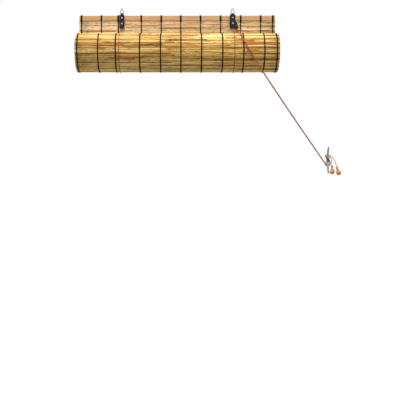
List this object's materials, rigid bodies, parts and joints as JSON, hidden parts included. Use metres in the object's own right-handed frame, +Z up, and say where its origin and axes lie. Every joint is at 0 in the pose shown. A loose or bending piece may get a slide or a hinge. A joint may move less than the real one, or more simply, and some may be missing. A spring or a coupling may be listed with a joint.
{
  "type": "reed roller blind",
  "caption": "Woven reed roll-up blind on a wooden head rail, hung by two wire rings, raised by cords over pulleys and a cord lock and wound on a wall cleat.",
  "frame": {"origin": "midway between the two hanging rings, at the height where the hooks carry them, in the middle of the sheet of the back cheeks", "axes": "+X to the right along the head rail, +Z up, -Y towards the room; the wall is at y 0.022 m"},
  "size_m": [1.0711, 0.1753, 0.6819],
  "materials": {
    "lath": "satin",
    "reed": "satin",
    "thread": "matte",
    "steel": "satin",
    "rivet": "satin",
    "wire": "polished",
    "sheave": "matte",
    "roller": "satin",
    "cord": "matte",
    "pull_wood": "satin",
    "cleat": "satin"
  },
  "bodies": {
    "frame": {"head_rail": "lath", "rail_bindings": "thread", "mat_drop": "reed", "drop_threads": "thread", "pulley_back_plate": "steel", "pulley_front_plate": "steel", "pulley_rail_rivet": "rivet", "pulley_axle": "rivet", "pulley_spacer": "rivet", "pulley_ring": "wire", "lock_back_plate": "steel", "lock_front_plate": "steel", "lock_rail_rivet": "rivet", "lock_axle": "rivet", "lock_spacer": "rivet", "lock_ring": "wire", "rivet_washers": "rivet", "cord_ties": "cord", "left_lift_front": "cord", "left_lift_rear": "cord", "right_lift_front": "cord", "right_lift_rear": "cord", "crossing_cord": "cord", "lock_cord": "cord", "pull_cord_a": "cord", "pull_cord_b": "cord", "pull_a": "pull_wood", "pull_b": "pull_wood", "pull_knots": "cord", "wall_cleat": "cleat"},
    "roll": {"mat_roll": "reed", "roll_threads": "thread", "left_lift_sling": "cord", "right_lift_sling": "cord"},
    "left_sheave": {"pulley_sheave": "sheave"},
    "right_back_sheave": {"lock_back_sheave": "sheave"},
    "right_front_sheave": {"lock_front_sheave": "sheave"},
    "roller": {"lock_roller": "roller"}
  },
  "joints": [
    {"name": "roll_drop", "type": "slide", "parent": "frame", "child": "roll", "axis": [0, 0, -1], "range_m": [0, 1.35], "deforming": ["mat_drop", "drop_threads", "left_lift_front", "right_lift_front", "left_lift_rear", "right_lift_rear"]},
    {"name": "left_sheave_spin", "type": "hinge", "parent": "frame", "child": "left_sheave", "pos_m": [-0.226, -0.00385, -0.0623], "axis": [0, 1, 0], "continuous": true},
    {"name": "right_back_sheave_spin", "type": "hinge", "parent": "frame", "child": "right_back_sheave", "pos_m": [0.226, -0.00385, -0.0623], "axis": [0, 1, 0], "continuous": true},
    {"name": "right_front_sheave_spin", "type": "hinge", "parent": "frame", "child": "right_front_sheave", "pos_m": [0.226, -0.0101, -0.0623], "axis": [0, 1, 0], "continuous": true},
    {"name": "lock_roller_slide", "type": "slide", "parent": "frame", "child": "roller", "axis": [-0.4226, 0, 0.9063], "range_m": [0, 0.009]}
  ]
}
